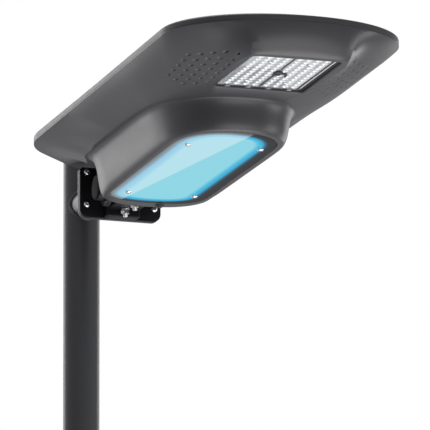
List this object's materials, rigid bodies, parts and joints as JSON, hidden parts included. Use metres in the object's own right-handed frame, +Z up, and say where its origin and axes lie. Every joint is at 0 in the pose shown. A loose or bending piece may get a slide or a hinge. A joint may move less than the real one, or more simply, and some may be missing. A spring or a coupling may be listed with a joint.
{
  "type": "solar street lamp",
  "caption": "All-in-one solar street lamp head with battery box, LED module and tilt joint on a round pole's side arm.",
  "frame": {"origin": "centre of the lower end face of the pole section", "axes": "+Z up along the pole, -Y towards the street along the arm, X across the head"},
  "size_m": [0.3946, 1.2294, 0.6113],
  "materials": {
    "housing_paint": "satin charcoal powder coat on die-cast aluminium",
    "pole_paint": "satin charcoal paint on steel tube",
    "black_casting": "satin black powder coat",
    "black_plastic": "moulded black plastic",
    "bright_steel": "bright zinc or stainless",
    "black_tube": "black paint on steel tube",
    "plain_aluminium": "mill finish",
    "clear_optic": "clear moulded polycarbonate",
    "cyan_cover": "translucent cover lit cyan from behind",
    "seal_rubber": "black seal",
    "solar_cells": "dark blue-black cells under glass",
    "battery_wrap": "blue film round metal cells",
    "white_board": "white solder mask on an aluminium board"
  },
  "bodies": {
    "mast": {"pole_tube": "pole_paint", "pole_cap": "black_plastic", "arm_tube": "pole_paint", "arm_flange": "pole_paint", "bracket_casting": "black_casting", "bracket_bolt_1": "bright_steel", "bracket_bolt_2": "bright_steel", "bracket_bolt_3": "bright_steel", "bracket_bolt_4": "bright_steel", "bracket_nut_1": "bright_steel", "bracket_nut_2": "bright_steel", "bracket_nut_3": "bright_steel", "bracket_nut_4": "bright_steel", "u_bolt": "bright_steel", "u_bolt_washer_1": "bright_steel", "u_bolt_washer_2": "bright_steel", "u_bolt_nut_1": "bright_steel", "u_bolt_nut_2": "bright_steel"},
    "head": {"battery_pack_left": "battery_wrap", "battery_pack_right": "battery_wrap", "battery_strap_front": "plain_aluminium", "battery_strap_rear": "plain_aluminium", "battery_tray": "plain_aluminium", "button_bezel": "black_plastic", "charge_controller": "black_plastic", "cover_screw_1": "bright_steel", "cover_screw_2": "bright_steel", "cover_screw_3": "bright_steel", "cover_screw_4": "bright_steel", "led_board": "white_board", "led_connector": "black_plastic", "led_gasket": "seal_rubber", "led_heatsink": "plain_aluminium", "led_screw_1": "bright_steel", "led_screw_2": "bright_steel", "led_screw_3": "bright_steel", "led_screw_4": "bright_steel", "lens_plate": "clear_optic", "light_guide": "clear_optic", "lower_housing": "housing_paint", "panel_frame": "housing_paint", "pivot_plug_left": "black_plastic", "pivot_plug_right": "black_plastic", "pivot_tube": "black_tube", "solar_laminate": "solar_cells", "switch_body": "black_plastic", "tilt_bolt_1": "bright_steel", "tilt_bolt_2": "bright_steel", "tilt_bolt_3": "bright_steel", "tilt_bolt_4": "bright_steel", "tilt_bracket": "black_casting", "window_cover": "cyan_cover", "window_gasket": "seal_rubber"},
    "button": {"power_button": "black_plastic"}
  },
  "joints": [
    {"name": "head_tilt", "type": "hinge", "parent": "mast", "child": "head", "pos_m": [0, -0.265, 0.489], "axis": [-1, 0, 0], "range_deg": [-10, 5]},
    {"name": "power_press", "type": "slide", "parent": "head", "child": "button", "axis": [0, 0.015, 0.9999], "range_m": [0, 0.0025], "stiffness_N_per_m": 400, "springref_m": -0.0005}
  ]
}
